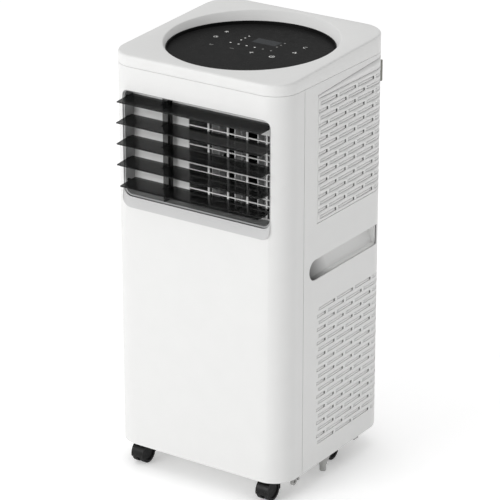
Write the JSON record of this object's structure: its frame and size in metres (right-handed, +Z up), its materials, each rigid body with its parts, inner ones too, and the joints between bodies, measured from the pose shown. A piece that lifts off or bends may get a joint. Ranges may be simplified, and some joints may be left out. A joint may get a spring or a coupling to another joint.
{
  "type": "portable air conditioner",
  "caption": "Compact upright portable air conditioner with louvered outlet, side handle pockets, slotted side grilles, round top control panel and twin-wheel casters.",
  "frame": {"origin": "on the floor under the middle of the unit's whole box", "axes": "+Z up, -Y towards the louvered front, +X to the right when facing that front"},
  "size_m": [0.3, 0.32, 0.657],
  "materials": {
    "casing_white": "fine satin moulding",
    "grey_plastic": "fine satin moulding",
    "smoked_plastic": "smoked, slightly see-through, polished",
    "black_plastic": "fine grain",
    "control_gloss": "polished black with printed touch symbols",
    "display_glass": "polished smoked window",
    "circuit_board": "solder mask",
    "sheet_metal": "zinc-plated sheet",
    "coil_fins": "thin pressed fins",
    "black_steel": "black enamel",
    "copper": "drawn tube, slightly dulled",
    "screw_steel": "plated",
    "soft_rubber": "matt",
    "caster_tread": "smooth nylon"
  },
  "bodies": {
    "casing": {"front_panel": "casing_white", "side_wall_right": "casing_white", "side_wall_left": "casing_white", "rear_housing": "casing_white", "top_cap": "casing_white", "lower_grille_right": "casing_white", "lower_grille_left": "casing_white", "guard_grille": "casing_white", "handle_cup_right": "casing_white", "handle_cup_left": "casing_white", "louver_frame": "grey_plastic", "air_duct": "grey_plastic", "partition_tray": "grey_plastic", "exhaust_collar": "grey_plastic", "drain_spout": "grey_plastic", "louver_rib": "smoked_plastic", "base_pan": "black_plastic", "control_bezel": "black_plastic", "cord_gland": "black_plastic", "control_disc": "control_gloss", "display_window": "display_glass", "control_board": "circuit_board", "blower_scroll": "sheet_metal", "blower_motor": "sheet_metal", "condenser_scroll": "sheet_metal", "condenser_motor": "sheet_metal", "electrics_box": "sheet_metal", "evaporator": "coil_fins", "condenser": "coil_fins", "compressor": "black_steel", "accumulator": "black_steel", "copper_lines": "copper", "case_screws": "screw_steel", "compressor_feet": "soft_rubber"},
    "filter_cover": {"upper_grille_right": "casing_white", "upper_grille_left": "casing_white", "upper_grille_rear": "casing_white", "air_filter": "grey_plastic", "cover_pulls": "grey_plastic"},
    "drain_plug": {"drain_plug": "soft_rubber"},
    "blade_1": {"blade_1": "smoked_plastic"},
    "blade_2": {"blade_2": "smoked_plastic"},
    "blade_3": {"blade_3": "smoked_plastic"},
    "blade_4": {"blade_4": "smoked_plastic"},
    "blade_5": {"blade_5": "smoked_plastic"},
    "blade_link": {"blade_link": "black_plastic"},
    "vane_1": {"vane_1": "grey_plastic"},
    "vane_2": {"vane_2": "grey_plastic"},
    "vane_3": {"vane_3": "grey_plastic"},
    "vane_link": {"vane_link": "black_plastic"},
    "blower_wheel": {"blower_wheel": "black_plastic"},
    "condenser_fan": {"condenser_fan": "black_plastic"},
    "caster_front_left": {"caster_front_left": "black_plastic"},
    "wheels_front_left": {"wheels_front_left": "caster_tread"},
    "caster_front_right": {"caster_front_right": "black_plastic"},
    "wheels_front_right": {"wheels_front_right": "caster_tread"},
    "caster_rear_left": {"caster_rear_left": "black_plastic"},
    "wheels_rear_left": {"wheels_rear_left": "caster_tread"},
    "caster_rear_right": {"caster_rear_right": "black_plastic"},
    "wheels_rear_right": {"wheels_rear_right": "caster_tread"}
  },
  "joints": [
    {"name": "filter_cover_slide", "type": "slide", "parent": "casing", "child": "filter_cover", "axis": [0, 1, 0], "range_m": [0, 0.06]},
    {"name": "drain_plug_pull", "type": "slide", "parent": "casing", "child": "drain_plug", "axis": [0, 1, 0], "range_m": [0, 0.025]},
    {"name": "blade_1_tilt", "type": "hinge", "parent": "casing", "child": "blade_1", "pos_m": [0, -0.133, 0.58], "axis": [1, 0, 0], "range_deg": [-35, 35]},
    {"name": "blade_2_tilt", "type": "hinge", "parent": "casing", "child": "blade_2", "pos_m": [0, -0.133, 0.54825], "axis": [1, 0, 0], "range_deg": [-35, 35]},
    {"name": "blade_3_tilt", "type": "hinge", "parent": "casing", "child": "blade_3", "pos_m": [0, -0.133, 0.5165], "axis": [1, 0, 0], "range_deg": [-35, 35]},
    {"name": "blade_4_tilt", "type": "hinge", "parent": "casing", "child": "blade_4", "pos_m": [0, -0.133, 0.48475], "axis": [1, 0, 0], "range_deg": [-35, 35]},
    {"name": "blade_5_tilt", "type": "hinge", "parent": "casing", "child": "blade_5", "pos_m": [0, -0.133, 0.453], "axis": [1, 0, 0], "range_deg": [-35, 35]},
    {"name": "blade_link_pivot", "type": "hinge", "parent": "blade_1", "child": "blade_link", "pos_m": [-0.0535, -0.12601, 0.58037], "axis": [1, 0, 0], "range_deg": [-35, 35]},
    {"name": "vane_1_turn", "type": "hinge", "parent": "casing", "child": "vane_1", "pos_m": [0.0075, -0.093, 0.498], "axis": [0, 0, 1], "range_deg": [-35, 35]},
    {"name": "vane_2_turn", "type": "hinge", "parent": "casing", "child": "vane_2", "pos_m": [0.0465, -0.093, 0.498], "axis": [0, 0, 1], "range_deg": [-35, 35]},
    {"name": "vane_3_turn", "type": "hinge", "parent": "casing", "child": "vane_3", "pos_m": [0.0855, -0.093, 0.498], "axis": [0, 0, 1], "range_deg": [-35, 35]},
    {"name": "vane_link_pivot", "type": "hinge", "parent": "vane_1", "child": "vane_link", "pos_m": [0.0075, -0.083, 0.498], "axis": [0, 0, 1], "range_deg": [-35, 35]},
    {"name": "blower_spin", "type": "hinge", "parent": "casing", "child": "blower_wheel", "pos_m": [0.045, 0.018, 0.498], "axis": [1, 0, 0], "continuous": true},
    {"name": "condenser_fan_spin", "type": "hinge", "parent": "casing", "child": "condenser_fan", "pos_m": [0.06, 0.05, 0.19], "axis": [0, 1, 0], "continuous": true},
    {"name": "front_left_swivel", "type": "hinge", "parent": "casing", "child": "caster_front_left", "pos_m": [-0.112, -0.116, 0.034], "axis": [0, 0, 1], "continuous": true},
    {"name": "front_left_roll", "type": "hinge", "parent": "caster_front_left", "child": "wheels_front_left", "pos_m": [-0.112, -0.122, 0.016], "axis": [1, 0, 0], "continuous": true},
    {"name": "front_right_swivel", "type": "hinge", "parent": "casing", "child": "caster_front_right", "pos_m": [0.112, -0.116, 0.034], "axis": [0, 0, 1], "continuous": true},
    {"name": "front_right_roll", "type": "hinge", "parent": "caster_front_right", "child": "wheels_front_right", "pos_m": [0.112, -0.122, 0.016], "axis": [1, 0, 0], "continuous": true},
    {"name": "rear_left_swivel", "type": "hinge", "parent": "casing", "child": "caster_rear_left", "pos_m": [-0.112, 0.046, 0.034], "axis": [0, 0, 1], "continuous": true},
    {"name": "rear_left_roll", "type": "hinge", "parent": "caster_rear_left", "child": "wheels_rear_left", "pos_m": [-0.112, 0.04, 0.016], "axis": [1, 0, 0], "continuous": true},
    {"name": "rear_right_swivel", "type": "hinge", "parent": "casing", "child": "caster_rear_right", "pos_m": [0.112, 0.046, 0.034], "axis": [0, 0, 1], "continuous": true},
    {"name": "rear_right_roll", "type": "hinge", "parent": "caster_rear_right", "child": "wheels_rear_right", "pos_m": [0.112, 0.04, 0.016], "axis": [1, 0, 0], "continuous": true}
  ],
  "couplings": [
    {"joint": "blade_2_tilt", "follows": "blade_1_tilt", "ratio": 1},
    {"joint": "blade_3_tilt", "follows": "blade_1_tilt", "ratio": 1},
    {"joint": "blade_4_tilt", "follows": "blade_1_tilt", "ratio": 1},
    {"joint": "blade_5_tilt", "follows": "blade_1_tilt", "ratio": 1},
    {"joint": "blade_link_pivot", "follows": "blade_1_tilt", "ratio": -1},
    {"joint": "vane_2_turn", "follows": "vane_1_turn", "ratio": 1},
    {"joint": "vane_3_turn", "follows": "vane_1_turn", "ratio": 1},
    {"joint": "vane_link_pivot", "follows": "vane_1_turn", "ratio": -1}
  ]
}
